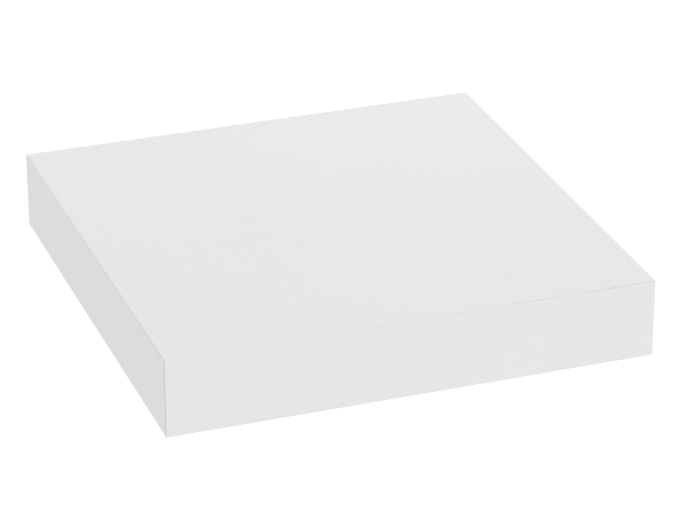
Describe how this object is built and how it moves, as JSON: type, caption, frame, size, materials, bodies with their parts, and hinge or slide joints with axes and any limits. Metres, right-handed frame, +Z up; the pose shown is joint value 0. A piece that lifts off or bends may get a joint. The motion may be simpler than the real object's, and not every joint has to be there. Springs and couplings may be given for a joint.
{
  "type": "floating wall shelf",
  "caption": "Square white hollow-core wall shelf with edge-banded sides that pushes onto the rods of a concealed steel wall bracket and is locked from below by set screws.",
  "frame": {"origin": "on the wall, in the middle of the bracket plate's back face", "axes": "+X to the right along the wall as seen from the room, +Y into the wall, +Z up"},
  "size_m": [0.235, 0.235, 0.038],
  "materials": {
    "faced_fibreboard": "satin",
    "edge_band": "satin",
    "particleboard": "matte",
    "kraft_paper": "matte",
    "galvanised_wire": "satin",
    "brass": "satin",
    "black_oxide_steel": "satin",
    "zinc_plated_steel": "satin",
    "weld_metal": "satin"
  },
  "bodies": {
    "bracket": {"wall_plate": "zinc_plated_steel", "left_rod": "zinc_plated_steel", "right_rod": "zinc_plated_steel", "weld_beads": "weld_metal"},
    "board": {"top_panel": "faced_fibreboard", "bottom_panel": "faced_fibreboard", "front_edge_band": "edge_band", "left_edge_band": "edge_band", "right_edge_band": "edge_band", "front_rail": "particleboard", "back_rail": "particleboard", "left_rail": "particleboard", "right_rail": "particleboard", "left_rod_guide": "particleboard", "right_rod_guide": "particleboard", "left_honeycomb": "kraft_paper", "centre_honeycomb": "kraft_paper", "right_honeycomb": "kraft_paper", "frame_staples": "galvanised_wire", "left_threaded_insert": "brass", "right_threaded_insert": "brass"},
    "left_lock": {"left_lock_screw": "black_oxide_steel"},
    "right_lock": {"right_lock_screw": "black_oxide_steel"}
  },
  "joints": [
    {"name": "board_pull_off", "type": "slide", "parent": "bracket", "child": "board", "axis": [0, -1, 0], "range_m": [0, 0.13]},
    {"name": "left_lock_travel", "type": "slide", "parent": "board", "child": "left_lock", "axis": [0, 0, -1], "range_m": [0, 0.006]},
    {"name": "right_lock_travel", "type": "slide", "parent": "board", "child": "right_lock", "axis": [0, 0, -1], "range_m": [0, 0.006]}
  ]
}
